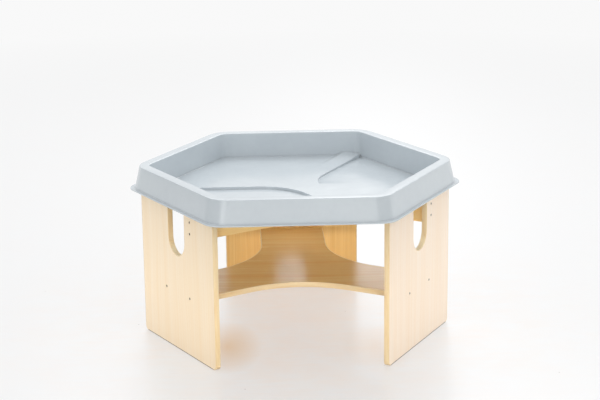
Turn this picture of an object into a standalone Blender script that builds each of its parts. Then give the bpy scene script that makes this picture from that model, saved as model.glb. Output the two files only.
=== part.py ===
# Hexagonal play table: a moulded tray that lifts off a stand of three leg panels, a shelf and three rails.
# Metres, +Z up, origin on the floor under the middle of the tray, +X along the tray's corners.
# The front of the table faces -Y.

import math

import bmesh
import bpy
from mathutils import Matrix, Vector
from mathutils.geometry import delaunay_2d_cdt

# Clearance between two pieces that touch
GAP = 0.0003

# Boards and the edging strip glued round them
BOARD = 0.015
EDGING = 0.002
EDGING_ROUND = 0.0008

# Stand: distance from the middle to the leg panels' outer faces, and each panel's inset from the hexagon's corners
PANEL_REACH = 0.390
PANEL_INSET = 0.020
FOOT_ROUND = 0.014
PANEL_TOP_ROUND = 0.030

# Hand slot, open at the panel's top
SLOT_WIDTH = 0.091
SLOT_BOTTOM = 0.277

# Shelf with three arms and three hollow bays
SHELF_TOP = 0.1763
SHELF_ARM_WIDTH = 0.195
SHELF_BAY_RADIUS = 0.268
SHELF_SCREW_MARGIN = 0.0305

# Rails: each stands square to its panel, beside the slot, and its mitred end meets the next rail
RAIL_OFFSET = 0.077
RAIL_HEIGHT = 0.069
RAIL_SCREW_HEIGHT = 0.0215
RAIL_SCREW_SPACING = 0.033

# Screws
SCREW_LENGTH = 0.045
SCREW_RADIUS = 0.0020
SCREW_HEAD_RADIUS = 0.0034
SCREW_HEAD_DEPTH = 0.0026
SCREW_HEAD_RIM = 0.0004
SCREW_POINT = 0.005
SCREW_SINK = 0.0003
DRIVE_RADIUS = 0.0015
DRIVE_DEPTH = 0.0018

# Dowels in the rails' mitred ends
DOWEL_RADIUS = 0.003
DOWEL_IN_END = 0.020
DOWEL_IN_SIDE = 0.009
DOWEL_SPACING = 0.034

# Tray: one moulded sheet that forms a basin, a hollow rim and a narrow flange
SHEET = 0.003
RIM_TOP = 0.487
RIM_CLEARANCE = 0.0005
RIM_WIDTH = 0.031
TRAY_DEPTH = 0.0735
SKIRT_HEIGHT = 0.0677
SKIRT_DRAFT = 0.009
BASIN_DRAFT = 0.004
FLANGE_WIDTH = 0.014
FLANGE_CORNER_RADIUS = 0.052
SKIRT_CORNER_RADIUS = 0.060
BASIN_CORNER_RADIUS = 0.036
RIM_OUTER_ROUND = 0.004
RIM_INNER_ROUND = 0.003
RIM_INSIDE_ROUND = 0.0008
FLANGE_EDGE_ROUND = 0.0012
FLANGE_FILLET = 0.002
FLOOR_FILLET = 0.006

# Relief in the tray's floor: a pool at the front left, a slightly lower floor on the right, and between
# the right and the back left a ramp that climbs to the corner. Offsets are clockwise from a corner's radial.
POOL_OFFSET = 0.0125
POOL_DEPTH = 0.0055
POOL_STEP_RUN = 0.0065
POOL_BEND_RADIUS = 0.190
RIGHT_DROP = 0.0023
RAMP_OFFSET = 0.0105
RAMP_STEP_RUN = 0.0035
RAMP_WIDTH = 0.068
RAMP_SOFT_RUN = 0.022
RAMP_HEIGHT = 0.0093
RAMP_START = 0.190
RAMP_BEND_START = 0.160
RAMP_BEND_RADIUS = 0.154
RAMP_TAIL = 0.028
RELIEF_BLEND = 0.022

# Facets
CORNER_STEPS = 6
ROUND_STEPS = 3
BAY_STEPS = 14
SLOT_STEPS = 14
SCREW_SIDES = 12
BEND_STEPS = 8
RAMP_STEPS = 5

# Directions, in degrees from +X
SIDES = {"left": 210, "right": 330, "back": 90}
BAYS = {"front": 270, "rear_left": 150, "rear_right": 30}
MODEL_SIDE = 270

# Heights that follow from the sizes above
FLOOR_LEVEL = RIM_TOP - TRAY_DEPTH
RAIL_TOP = FLOOR_LEVEL - POOL_DEPTH - SHEET - GAP
PANEL_TOP = RIM_TOP - SHEET - GAP
SHELF_MIDDLE = SHELF_TOP - BOARD / 2
EDGE_SETBACK = EDGING + GAP
PANEL_HALF = PANEL_REACH * math.tan(math.radians(30)) - PANEL_INSET
PANEL_INNER = PANEL_REACH - BOARD
SLOT_CENTRE = SLOT_BOTTOM + SLOT_WIDTH / 2
RAIL_BOTTOM = RAIL_TOP - RAIL_HEIGHT
RAIL_SCREWS = (RAIL_BOTTOM + RAIL_SCREW_HEIGHT, RAIL_BOTTOM + RAIL_SCREW_HEIGHT + RAIL_SCREW_SPACING)
SHELF_SCREW_PLACE = SHELF_ARM_WIDTH / 2 - SHELF_SCREW_MARGIN
SHELF_SCREWS = {"left": -SHELF_SCREW_PLACE, "right": SHELF_SCREW_PLACE}
RAIL_MIDDLE = (RAIL_BOTTOM + RAIL_TOP) / 2
DOWEL_HEIGHTS = (RAIL_MIDDLE - DOWEL_SPACING / 2, RAIL_MIDDLE + DOWEL_SPACING / 2)


# Small helpers

def direction(degrees):
    angle = math.radians(degrees)
    return Vector((math.cos(angle), math.sin(angle)))


def clockwise(vector):
    return Vector((vector.y, -vector.x))


def arc(centre, radius, start, end, steps):
    """Points on an arc in a plane, angles in degrees."""
    turn = (end - start) / steps
    return [Vector(centre) + radius * direction(start + turn * i) for i in range(steps + 1)]


def make_material(name, colour, roughness, metallic=0.0):
    material = bpy.data.materials.new(name)
    material.use_nodes = True
    shader = material.node_tree.nodes["Principled BSDF"]
    shader.inputs["Base Color"].default_value = (*colour, 1.0)
    shader.inputs["Roughness"].default_value = roughness
    shader.inputs["Metallic"].default_value = metallic
    return material


def closed_mesh(name, points, faces, smooth_angle=35):
    mesh = bpy.data.meshes.new(name)
    mesh.from_pydata([tuple(p) for p in points], [], faces)
    solid = bmesh.new()
    solid.from_mesh(mesh)
    bmesh.ops.recalc_face_normals(solid, faces=solid.faces)
    if solid.calc_volume(signed=True) < 0:
        bmesh.ops.reverse_faces(solid, faces=solid.faces)
    solid.to_mesh(mesh)
    solid.free()
    mesh.shade_smooth()
    mesh.set_sharp_from_angle(angle=math.radians(smooth_angle))
    return mesh


def prism(name, outline, low, high, across):
    """Extrude a plane outline from low to high; across turns (u, v, height) into a point."""
    count = len(outline)
    points = [across(p[0], p[1], low) for p in outline] + [across(p[0], p[1], high) for p in outline]
    faces = [list(range(count)), list(range(2 * count - 1, count - 1, -1))]
    for i in range(count):
        j = (i + 1) % count
        faces.append([i, j, j + count, i + count])
    return closed_mesh(name, points, faces)


def upright(u, v, height):
    """An outline drawn in the panel's own plane, thick along Y."""
    return (u, height, v)


def level(u, v, height):
    """An outline drawn flat, thick along Z."""
    return (u, v, height)


def turned(name, profile, sides=SCREW_SIDES):
    """A solid turned about its Y axis from (radius, y) pairs, with flat ends."""
    points = []
    for radius, y in profile:
        for i in range(sides):
            around = direction(360 * i / sides)
            points.append((radius * around.x, y, radius * around.y))
    last = (len(profile) - 1) * sides
    faces = [list(range(sides)), list(range(last, last + sides))]
    for ring in range(len(profile) - 1):
        for i in range(sides):
            a = ring * sides + i
            b = ring * sides + (i + 1) % sides
            faces.append([a, b, b + sides, a + sides])
    return closed_mesh(name, points, faces)


def hole(profile, location, turn=0.0, sides=SCREW_SIDES):
    """The shape of a turned hole, placed and then turned about the table's Z axis."""
    shape = turned("hole", profile, sides)
    shape.transform(Matrix.Rotation(math.radians(turn), 4, "Z") @ Matrix.Translation(location))
    return shape


def drilled(mesh, holes):
    """The mesh with all the holes taken out of it in one cut."""
    joined = bmesh.new()
    for shape in holes:
        joined.from_mesh(shape)
    drill = bpy.data.objects.new("drill", bpy.data.meshes.new("drill"))
    joined.to_mesh(drill.data)
    joined.free()
    drill.display_type = "WIRE"
    drill.hide_render = True
    blank = bpy.data.objects.new("blank", mesh)
    cut = blank.modifiers.new("cut", "BOOLEAN")
    cut.operation = "DIFFERENCE"
    cut.object = drill
    for thing in (blank, drill):
        bpy.context.scene.collection.objects.link(thing)
    result = bpy.data.meshes.new_from_object(blank.evaluated_get(bpy.context.evaluated_depsgraph_get()))
    result.name = mesh.name
    for thing in (blank, drill):
        bpy.data.objects.remove(thing)
    result.shade_smooth()
    result.set_sharp_from_angle(angle=math.radians(35))
    return result


def edging(name, path, inward, low, high, across):
    """A strip along the path: it lies inside the finished edge and its two outer arrises are rounded."""
    section = [
        (EDGING, low),
        (EDGING_ROUND, low),
        (0.0, low + EDGING_ROUND),
        (0.0, high - EDGING_ROUND),
        (EDGING_ROUND, high),
        (EDGING, high),
    ]
    points = []
    for place, normal in zip(path, inward):
        for depth, height in section:
            spot = place + normal * depth
            points.append(across(spot.x, spot.y, height))
    size = len(section)
    last = (len(path) - 1) * size
    faces = [list(range(size)), list(range(last, last + size))]
    for ring in range(len(path) - 1):
        for i in range(size):
            a = ring * size + i
            b = ring * size + (i + 1) % size
            faces.append([a, b, b + size, a + size])
    return closed_mesh(name, points, faces, smooth_angle=50)


def place(name, mesh, material, location=(0, 0, 0), parent=None):
    if not mesh.materials:
        mesh.materials.append(material)
    piece = bpy.data.objects.new(name, mesh)
    piece.location = location
    piece.parent = parent
    bpy.context.scene.collection.objects.link(piece)
    return piece


# Screws and dowels

def screw_profile(clearance=0.0, end=SCREW_LENGTH):
    """Head, cone and shank as (radius, depth) pairs; a clearance makes the hole for them."""
    return [
        (SCREW_HEAD_RADIUS + clearance, SCREW_SINK if clearance == 0 else -BOARD),
        (SCREW_HEAD_RADIUS + clearance, SCREW_SINK + SCREW_HEAD_RIM + clearance),
        (SCREW_RADIUS + clearance, SCREW_SINK + SCREW_HEAD_DEPTH + clearance),
        (SCREW_RADIUS + clearance, end),
    ]


def screw_mesh():
    profile = screw_profile(end=SCREW_LENGTH - SCREW_POINT)
    profile.append((SCREW_RADIUS / 5, SCREW_LENGTH))
    drive = hole([(DRIVE_RADIUS, 0.0), (DRIVE_RADIUS, SCREW_SINK + DRIVE_DEPTH)], (0, 0, 0), sides=6)
    return drilled(turned("screw", profile), [drive])


def screw_hole(x, height, turn=0.0):
    """The countersunk hole through the panel and the pilot hole beyond it."""
    profile = screw_profile(clearance=GAP, end=SCREW_LENGTH + GAP)
    return hole(profile, (x, -PANEL_REACH, height), turn)


def rail_screw_holes():
    return [screw_hole(RAIL_OFFSET, height) for height in RAIL_SCREWS]


def shelf_screw_holes(turn=0.0):
    return [screw_hole(x, SHELF_MIDDLE, turn) for x in SHELF_SCREWS.values()]


# Leg panels, modelled as the one that would face -Y and then turned into place

def panel_outline():
    """The board inside its edging, counterclockwise, as (x, height) points."""
    side = PANEL_HALF - EDGE_SETBACK
    foot = PANEL_HALF - FOOT_ROUND
    slot = SLOT_WIDTH / 2 + EDGE_SETBACK
    right = [Vector((foot - GAP, 0.0)), Vector((foot - GAP, EDGE_SETBACK))]
    right += arc((foot, FOOT_ROUND), FOOT_ROUND - EDGE_SETBACK, -90, 0, ROUND_STEPS)
    right += arc((side - PANEL_TOP_ROUND, PANEL_TOP - PANEL_TOP_ROUND), PANEL_TOP_ROUND, 0, 90, ROUND_STEPS)
    left = [Vector((-p.x, p.y)) for p in reversed(right)]
    hollow = arc((0.0, SLOT_CENTRE), slot, 0, -180, SLOT_STEPS)
    return right + [Vector((slot, PANEL_TOP))] + hollow + [Vector((-slot, PANEL_TOP))] + left


def panel_mesh():
    board = prism("leg_panel", panel_outline(), -PANEL_REACH, -PANEL_INNER, upright)
    return drilled(board, rail_screw_holes() + shelf_screw_holes())


def side_edging_mesh(sign):
    """The strip down one side of a panel and round its foot."""
    foot = PANEL_HALF - FOOT_ROUND
    curve = arc((foot, FOOT_ROUND), FOOT_ROUND, 0, -90, 2 * ROUND_STEPS)
    path = [Vector((PANEL_HALF, PANEL_TOP - PANEL_TOP_ROUND))] + curve
    inward = [Vector((-1.0, 0.0))] + [(Vector((foot, FOOT_ROUND)) - p).normalized() for p in curve]
    path = [Vector((sign * p.x, p.y)) for p in path]
    inward = [Vector((sign * n.x, n.y)) for n in inward]
    return edging("side_edging", path, inward, -PANEL_REACH, -PANEL_INNER, upright)


def slot_edging_mesh():
    """The strip that lines a hand slot."""
    radius = SLOT_WIDTH / 2
    centre = Vector((0.0, SLOT_CENTRE))
    curve = arc(centre, radius, 0, -180, SLOT_STEPS)
    path = [Vector((radius, PANEL_TOP))] + curve + [Vector((-radius, PANEL_TOP))]
    outward = [Vector((1.0, 0.0))] + [(p - centre).normalized() for p in curve] + [Vector((-1.0, 0.0))]
    return edging("slot_edging", path, outward, -PANEL_REACH, -PANEL_INNER, upright)


# Rails

def rail_end(x):
    """How far a rail reaches along Y, at x, before it meets the next rail's face."""
    next_face = RAIL_OFFSET - BOARD / 2 - GAP
    along = direction(MODEL_SIDE + 120 + 90)
    return (next_face - along.x * x) / along.y


def dowel_span():
    """The two ends of a dowel along the rail that it comes out of."""
    joint = rail_end(RAIL_OFFSET)
    return joint - DOWEL_IN_END, joint + DOWEL_IN_SIDE / math.cos(math.radians(30))


def dowel_hole(height, turn=0.0):
    start, end = dowel_span()
    profile = [(DOWEL_RADIUS + GAP, start - GAP), (DOWEL_RADIUS + GAP, end + GAP)]
    return hole(profile, (RAIL_OFFSET, 0.0, height), turn)


def rail_mesh():
    near = RAIL_OFFSET - BOARD / 2
    far = RAIL_OFFSET + BOARD / 2
    start = -PANEL_INNER + GAP
    outline = [(near, start), (far, start), (far, rail_end(far)), (near, rail_end(near))]
    board = prism("rail", outline, RAIL_BOTTOM, RAIL_TOP, level)
    holes = rail_screw_holes()
    holes += [dowel_hole(height) for height in DOWEL_HEIGHTS]
    holes += [dowel_hole(height, turn=-120) for height in DOWEL_HEIGHTS]
    return drilled(board, holes)


def dowel_mesh():
    start, end = dowel_span()
    chamfer = DOWEL_RADIUS / 5
    thin = DOWEL_RADIUS - chamfer
    profile = [(thin, start), (DOWEL_RADIUS, start + chamfer), (DOWEL_RADIUS, end - chamfer), (thin, end)]
    return turned("dowel", profile)


# Shelf

def bay_curve(bay, setback):
    """One bay from panel to panel, counterclockwise: its points and the directions into the board."""
    half = SHELF_ARM_WIDTH / 2 - setback
    radius = SHELF_BAY_RADIUS + setback
    facing = direction(bay)
    centre = facing * (half / math.sin(math.radians(60)) + radius / math.cos(math.radians(30)))
    before = direction(bay - 60)
    after = direction(bay + 60)
    reach = PANEL_INNER - GAP
    first = before * reach - clockwise(before) * half
    last = after * reach + clockwise(after) * half
    curve = arc(centre, radius, bay + 180 + 30, bay + 180 - 30, BAY_STEPS)
    curve.reverse()
    if clockwise(facing).dot(curve[0]) < 0:
        curve.reverse()
    path = [first] + curve + [last]
    inward = [clockwise(before)] + [(p - centre).normalized() for p in curve] + [-clockwise(after)]
    return path, inward


def shelf_mesh():
    outline = []
    for bay in sorted(BAYS.values()):
        outline += bay_curve(bay, EDGE_SETBACK)[0]
    board = prism("shelf", outline, SHELF_TOP - BOARD, SHELF_TOP, level)
    holes = []
    for side in SIDES.values():
        holes += shelf_screw_holes(side - MODEL_SIDE)
    return drilled(board, holes)


def shelf_edging_mesh(bay):
    path, inward = bay_curve(bay, 0.0)
    return edging("shelf_edging", path, inward, SHELF_TOP - BOARD, SHELF_TOP, level)


# Tray. A ring is a rounded hexagon with a point for each station. A station is a normal's angle and, on a
# straight side, a share of the side's straight half, from -1 at its clockwise end to 1 at the other.

def straight_half(apothem, radius):
    return (apothem - radius) * math.tan(math.radians(30))


def ring_point(apothem, radius, normal, share):
    outward = direction(normal)
    if normal % 60 == 30:
        return outward * apothem - clockwise(outward) * (share * straight_half(apothem, radius))
    vertex = direction(60 * round(normal / 60))
    return vertex * ((apothem - radius) / math.cos(math.radians(30))) + outward * radius


def meeting(vertex, offset, apothem, radius):
    """The station where a line beside a corner's radial, offset clockwise, meets a ring."""
    if abs(offset) < radius / 2:
        return vertex - math.degrees(math.asin(offset / radius)), 0.0
    place = apothem * math.tan(math.radians(30)) - abs(offset) / math.cos(math.radians(30))
    side = math.copysign(1, offset)
    return vertex - 30 * side, side * place / straight_half(apothem, radius)


def beside(vertex, along, offset):
    """A point along a corner's radial, moved to its clockwise side."""
    spoke = direction(vertex)
    return spoke * along + clockwise(spoke) * offset


def rounded(corners):
    """Round a profile's corners. Each corner is (apothem, height, corner radius, rounding, relief share)."""
    points = []
    for i, (apothem, height, radius, rounding, share) in enumerate(corners):
        here = Vector((apothem, height))
        if rounding == 0:
            points.append((apothem, height, radius, share))
            continue
        back = (Vector(corners[i - 1][:2]) - here).normalized()
        onward = (Vector(corners[i + 1][:2]) - here).normalized()
        half_angle = back.angle(onward) / 2
        setback = rounding / math.tan(half_angle)
        centre = here + (back + onward).normalized() * rounding / math.sin(half_angle)
        start = here + back * setback - centre
        end = here + onward * setback - centre
        for step in range(ROUND_STEPS + 1):
            spot = centre + start.lerp(end, step / ROUND_STEPS).normalized() * rounding
            points.append((spot.x, spot.y, radius, share))
    return points


def tray_profile():
    """The tray's section as rings: the upper skin from the flange to the floor, and the lower skin back."""
    rim_out = PANEL_REACH + RIM_CLEARANCE + SHEET
    rim_in = rim_out - RIM_WIDTH
    skirt = rim_out + SKIRT_DRAFT
    flange = skirt + FLANGE_WIDTH
    basin = rim_in - BASIN_DRAFT
    flange_low = RIM_TOP - SKIRT_HEIGHT
    flange_top = flange_low + SHEET
    low = FLOOR_LEVEL - SHEET
    inset = FLOOR_FILLET + SHEET
    blend = FLOOR_LEVEL + RELIEF_BLEND
    blend_at = basin + BASIN_DRAFT * RELIEF_BLEND / TRAY_DEPTH
    outer = SKIRT_CORNER_RADIUS
    inner = BASIN_CORNER_RADIUS
    upper = rounded([
        (flange - SHEET, flange_low, FLANGE_CORNER_RADIUS - SHEET, 0, 0),
        (flange, flange_low, FLANGE_CORNER_RADIUS, FLANGE_EDGE_ROUND, 0),
        (flange, flange_top, FLANGE_CORNER_RADIUS, FLANGE_EDGE_ROUND, 0),
        (skirt, flange_top, outer, FLANGE_FILLET, 0),
        (rim_out, RIM_TOP, outer, RIM_OUTER_ROUND, 0),
        (rim_in, RIM_TOP, inner, RIM_INNER_ROUND, 0),
        (blend_at, blend, inner, 0, 0),
        (basin, FLOOR_LEVEL, inner, FLOOR_FILLET, 1),
        (basin - inset, FLOOR_LEVEL, inner - SHEET, 0, 1),
    ])
    lower = rounded([
        (basin - inset, low, inner - SHEET, 0, 1),
        (basin + SHEET, low, inner + SHEET, FLOOR_FILLET + SHEET, 1),
        (blend_at + SHEET, blend, inner + SHEET, 0, 0),
        (rim_in + SHEET, RIM_TOP - SHEET, inner + SHEET, RIM_INSIDE_ROUND, 0),
        (rim_out - SHEET, RIM_TOP - SHEET, outer - SHEET, RIM_INSIDE_ROUND, 0),
        (skirt - SHEET, flange_low, outer - SHEET, 0, 0),
    ])
    return upper, lower


def zone_edges(apothem, radius):
    """Where the floor's lines meet its ring, counterclockwise, with the relief from there on."""
    lines = {
        "ramp_foot": (60, RAMP_OFFSET + RAMP_STEP_RUN, -RIGHT_DROP),
        "ramp_edge": (60, RAMP_OFFSET, RAMP_HEIGHT),
        "ramp_shoulder": (60, RAMP_OFFSET - RAMP_WIDTH + RAMP_SOFT_RUN, RAMP_HEIGHT),
        "ramp_side": (60, RAMP_OFFSET - RAMP_WIDTH, 0.0),
        "pool_edge": (180, POOL_OFFSET, 0.0),
        "pool_foot": (180, POOL_OFFSET - POOL_STEP_RUN, -POOL_DEPTH),
        "pool_far_foot": (300, POOL_OFFSET + POOL_STEP_RUN, -POOL_DEPTH),
        "pool_far_edge": (300, POOL_OFFSET, -RIGHT_DROP),
    }
    return {name: (meeting(vertex, offset, apothem, radius), relief)
            for name, (vertex, offset, relief) in lines.items()}


def floor_stations(edges):
    """Every ring's stations in order as (station, relief): those of the floor's lines and of the corners."""
    ordered = list(edges.values())
    slopes = list(zip(ordered[::2], ordered[1::2]))
    stations = list(ordered)
    for vertex in range(0, 360, 60):
        for step in range(CORNER_STEPS + 1):
            normal = vertex - 30 + 60 * step / CORNER_STEPS
            station = (normal, {0: 1.0, CORNER_STEPS: -1.0}.get(step, 0.0))
            if any(start <= station <= end for (start, _), (end, _) in slopes):
                continue
            relief = -RIGHT_DROP
            for place, beyond in ordered:
                if station > place:
                    relief = beyond
            stations.append((station, relief))
    return sorted(stations)


def ramp_line(start, offset):
    """Points down the ramp from the ring, with the share of the ramp's height that each keeps."""
    top = start.dot(direction(60))
    points = []
    for step in range(1, RAMP_STEPS + 1):
        left = 1 - step / RAMP_STEPS
        points.append((beside(60, RAMP_START + (top - RAMP_START) * left, offset), left ** 2))
    return points


def ramp_bend(offset):
    """Points where the step beside the ramp goes on, bends to the front and fades, with the share left."""
    centre = beside(60, RAMP_BEND_START, RAMP_OFFSET + RAMP_BEND_RADIUS)
    radius = RAMP_BEND_RADIUS - (offset - RAMP_OFFSET)
    bend = arc(centre, radius, 150, 180, BEND_STEPS // 2)
    points = [(point, 1 - 0.5 * i / (len(bend) - 1)) for i, point in enumerate(bend)]
    points.append((bend[-1] + Vector((0.0, -RAMP_TAIL)), 0.0))
    return points


def pool_line(inset):
    """The bend in the pool's edge, moved into the pool by the inset."""
    setback = POOL_BEND_RADIUS * math.tan(math.radians(30))
    meeting_point = Vector((-POOL_OFFSET * math.tan(math.radians(60)), POOL_OFFSET))
    centre = meeting_point - Vector((setback, POOL_BEND_RADIUS))
    return arc(centre, POOL_BEND_RADIUS - inset, 90, 30, BEND_STEPS)


def raised(points, height):
    """Plane points with shares, as points at that share of a height."""
    return [Vector((point.x, point.y, share * height)) for point, share in points]


def floor_faces(ring, names):
    """Points and triangles of the floor inside its ring, whose points come first."""
    points = list(ring)
    count = len(points)
    edges = [(i, (i + 1) % count) for i in range(count)]

    def add_line(first, line, last=None):
        start = len(points)
        points.extend(line)
        chain = [names[first]] + list(range(start, len(points)))
        if last is not None:
            chain.append(names[last])
        edges.extend(zip(chain[:-1], chain[1:]))
        return chain

    def level_line(inset, relief):
        return [Vector((p.x, p.y, relief)) for p in pool_line(inset)]

    add_line("pool_edge", level_line(0.0, 0.0), "pool_far_edge")
    add_line("pool_foot", level_line(POOL_STEP_RUN, -POOL_DEPTH), "pool_far_foot")

    foot = RAMP_OFFSET + RAMP_STEP_RUN
    ramp_foot = [(p, 1.0) for p, _ in ramp_line(points[names["ramp_foot"]].xy, foot)]
    add_line("ramp_foot", raised(ramp_foot + ramp_bend(foot), -RIGHT_DROP))
    edge = raised(ramp_line(points[names["ramp_edge"]].xy, RAMP_OFFSET), RAMP_HEIGHT)
    edge_chain = add_line("ramp_edge", edge + raised(ramp_bend(RAMP_OFFSET), 0.0))
    shoulder = RAMP_OFFSET - RAMP_WIDTH + RAMP_SOFT_RUN
    shoulder_line = raised(ramp_line(points[names["ramp_shoulder"]].xy, shoulder), RAMP_HEIGHT)
    shoulder_chain = add_line("ramp_shoulder", shoulder_line)
    side = RAMP_OFFSET - RAMP_WIDTH
    side_chain = add_line("ramp_side", raised(ramp_line(points[names["ramp_side"]].xy, side), 0.0))
    edges.append((edge_chain[RAMP_STEPS], shoulder_chain[-1]))
    edges.append((shoulder_chain[-1], side_chain[-1]))

    flat = [point.xy for point in points]
    _, _, triangles, origins, _, _ = delaunay_2d_cdt(flat, edges, [list(range(count))], 1, 1e-7)
    index = [origin[0] for origin in origins]
    return points, [[index[i] for i in triangle] for triangle in triangles]


def tray_mesh():
    """The tray, with its own origin at the level of its floor."""
    upper, lower = tray_profile()
    floor_apothem, _, floor_radius, _ = upper[-1]
    edges = zone_edges(floor_apothem, floor_radius)
    stations = floor_stations(edges)
    count = len(stations)
    rings = upper + lower
    points = []
    for apothem, height, radius, share in rings:
        for (normal, along), relief in stations:
            spot = ring_point(apothem, radius, normal, along)
            points.append(Vector((spot.x, spot.y, height - FLOOR_LEVEL + share * relief)))
    faces = []
    for k in range(len(rings)):
        if k == len(upper) - 1:
            continue
        onward = (k + 1) % len(rings)
        for i in range(count):
            j = (i + 1) % count
            faces.append([k * count + i, k * count + j, onward * count + j, onward * count + i])
    places = [station for station, _ in stations]
    names = {name: places.index(station) for name, (station, _) in edges.items()}
    first = (len(upper) - 1) * count
    floor, triangles = floor_faces(points[first:first + count], names)
    for ring, drop in ((len(upper) - 1, 0.0), (len(upper), SHEET)):
        start = len(points)
        points.extend(point - Vector((0.0, 0.0, drop)) for point in floor[count:])
        for triangle in triangles:
            faces.append([ring * count + i if i < count else start + i - count for i in triangle])
    return closed_mesh("tray", points, faces, smooth_angle=30)


# The whole table

def build():
    for thing in list(bpy.data.objects):
        bpy.data.objects.remove(thing, do_unlink=True)
    face_wood = make_material("beech_face", (0.80, 0.62, 0.42), 0.45)
    edge_wood = make_material("pale_edging", (0.84, 0.67, 0.42), 0.40)
    rail_wood = make_material("rail_wood", (0.76, 0.56, 0.34), 0.50)
    dowel_wood = make_material("dowel_wood", (0.70, 0.52, 0.32), 0.60)
    steel = make_material("dark_screw_steel", (0.20, 0.16, 0.12), 0.40, 0.8)
    plastic = make_material("grey_plastic", (0.55, 0.60, 0.64), 0.38)

    panel = panel_mesh()
    strips = {"right": side_edging_mesh(1), "left": side_edging_mesh(-1)}
    slot_strip = slot_edging_mesh()
    rail = rail_mesh()
    dowel = dowel_mesh()
    screw = screw_mesh()

    for side, angle in SIDES.items():
        frame = bpy.data.objects.new("side_" + side, None)
        frame.rotation_euler.z = math.radians(angle - MODEL_SIDE)
        bpy.context.scene.collection.objects.link(frame)
        place("leg_panel_" + side, panel, face_wood, parent=frame)
        for hand, strip in strips.items():
            place(f"leg_{side}_edging_{hand}", strip, edge_wood, parent=frame)
        place("slot_edging_" + side, slot_strip, edge_wood, parent=frame)
        place("rail_" + side, rail, rail_wood, parent=frame)
        for level_name, height in zip(("lower", "upper"), RAIL_SCREWS):
            spot = (RAIL_OFFSET, -PANEL_REACH, height)
            place(f"rail_screw_{side}_{level_name}", screw, steel, spot, frame)
        for hand, x in SHELF_SCREWS.items():
            place(f"shelf_screw_{side}_{hand}", screw, steel, (x, -PANEL_REACH, SHELF_MIDDLE), frame)
        for level_name, height in zip(("lower", "upper"), DOWEL_HEIGHTS):
            place(f"rail_dowel_{side}_{level_name}", dowel, dowel_wood, (RAIL_OFFSET, 0, height), frame)

    place("shelf", shelf_mesh(), face_wood)
    for bay, angle in BAYS.items():
        place("shelf_edging_" + bay, shelf_edging_mesh(angle), edge_wood)
    tray = place("tray", tray_mesh(), plastic, (0, 0, FLOOR_LEVEL))
    tray.modifiers.new("even_shading", "WEIGHTED_NORMAL").keep_sharp = True


build()
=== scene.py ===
import math

import bmesh
import bpy
from mathutils import Matrix, Vector
from mathutils.geometry import delaunay_2d_cdt


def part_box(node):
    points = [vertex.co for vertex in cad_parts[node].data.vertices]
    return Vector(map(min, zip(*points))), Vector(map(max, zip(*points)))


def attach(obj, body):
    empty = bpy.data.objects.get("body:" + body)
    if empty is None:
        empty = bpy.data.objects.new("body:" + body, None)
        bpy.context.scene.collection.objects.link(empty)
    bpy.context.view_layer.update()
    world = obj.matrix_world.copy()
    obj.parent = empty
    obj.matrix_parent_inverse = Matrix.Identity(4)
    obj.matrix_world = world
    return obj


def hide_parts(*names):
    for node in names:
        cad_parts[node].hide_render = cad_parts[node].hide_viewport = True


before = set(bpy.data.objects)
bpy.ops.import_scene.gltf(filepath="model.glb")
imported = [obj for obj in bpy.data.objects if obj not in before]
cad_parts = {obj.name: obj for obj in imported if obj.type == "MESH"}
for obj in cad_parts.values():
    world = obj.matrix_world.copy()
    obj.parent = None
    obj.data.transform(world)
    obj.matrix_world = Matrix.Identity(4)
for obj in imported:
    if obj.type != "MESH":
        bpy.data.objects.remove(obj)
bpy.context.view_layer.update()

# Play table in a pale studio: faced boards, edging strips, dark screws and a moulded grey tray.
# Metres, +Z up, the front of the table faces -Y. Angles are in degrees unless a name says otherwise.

scene = bpy.context.scene

COS30 = math.cos(math.radians(30))
TAN30 = math.tan(math.radians(30))

# Boards and strips, at the solids' own sizes
GAP = 0.0003
BOARD = 0.015
EDGING = 0.002
EDGING_ROUND = 0.0008
PANEL_REACH = 0.390
PANEL_INSET = 0.020
PANEL_TOP_ROUND = 0.030
FOOT_ROUND = 0.014
SLOT_WIDTH = 0.091
SLOT_BOTTOM = 0.277
SHELF_TOP = 0.1763
SHELF_ARM_WIDTH = 0.195
SHELF_BAY_RADIUS = 0.268

# Directions in which the legs and the shelf's bays face, and the one in which a leg is modelled
SIDES = {"left": 210, "right": 330, "back": 90}
BAYS = {"front": 270, "rear_left": 150, "rear_right": 30}
MODEL_SIDE = 270

# Screws: rail screws by height above the rail's lower edge, shelf screws by place beside a leg's middle line
SCREW_LENGTH = 0.045
SCREW_RADIUS = 0.0020
SCREW_HEAD_RADIUS = 0.0034
SCREW_HEAD_DEPTH = 0.0026
SCREW_HEAD_RIM = 0.0004
SCREW_POINT = 0.005
SCREW_POINT_RADIUS = 0.0004
SCREW_SINK = 0.0003
SCREW_ARRIS = 0.00025
DRIVE_RADIUS = 0.0015
DRIVE_DEPTH = 0.0018
DRIVE_OVERRUN = 0.001
DRIVE_SIDES = 6
RAIL_OFFSET = 0.077
RAIL_SCREWS = {"lower": 0.0215, "upper": 0.0545}
SHELF_SCREWS = {"left": -0.067, "right": 0.067}

# Tray section
SHEET = 0.003
RIM_TOP = 0.487
TRAY_DEPTH = 0.0735
SKIRT_HEIGHT = 0.0677
RIM_CLEARANCE = 0.0005
RIM_WIDTH = 0.031
SKIRT_DRAFT = 0.013
FLANGE_WIDTH = 0.010
BASIN_DRAFT = 0.004
FLANGE_CORNER_RADIUS = 0.060
SKIRT_CORNER_RADIUS = 0.074
BASIN_CORNER_RADIUS = 0.027
RIM_OUTER_ROUND = 0.003
RIM_INNER_ROUND = 0.003
RIM_INSIDE_ROUND = 0.0008
FLANGE_EDGE_ROUND = 0.0012
FLANGE_FILLET = 0.002
FLOOR_FILLET = 0.0016

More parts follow.
